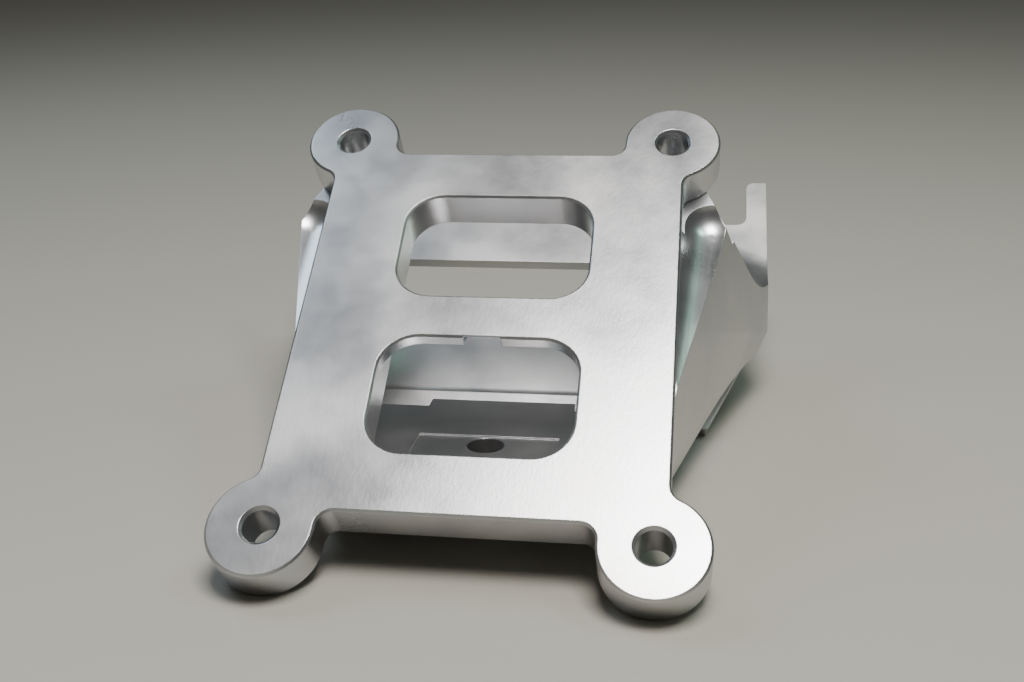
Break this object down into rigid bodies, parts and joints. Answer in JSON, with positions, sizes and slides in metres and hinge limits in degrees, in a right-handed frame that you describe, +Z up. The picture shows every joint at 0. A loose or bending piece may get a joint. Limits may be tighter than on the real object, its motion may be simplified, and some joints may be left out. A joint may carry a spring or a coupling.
{
  "type": "angled adapter bracket",
  "caption": "Machined aluminium bracket: a windowed flange with tapped ears, flared side cheeks, a sloping floor with a clearance hole, and a thin slotted rear plate with prongs.",
  "frame": {"origin": "centre of the footprint box on the surface that the bracket lies on", "axes": "+X to the right across the flange, +Y back from the lower ears towards the rear plate's prongs, +Z up; the flange leans 33.6 degrees and its front face looks up and towards -Y"},
  "size_m": [0.152, 0.1836, 0.0919],
  "materials": {
    "aluminium": "machined, fine random-orbital brushing on the flange's front face, milled and satin elsewhere, edges lightly broken"
  },
  "bodies": {
    "root": {"angled_bracket": "aluminium"}
  },
  "joints": []
}
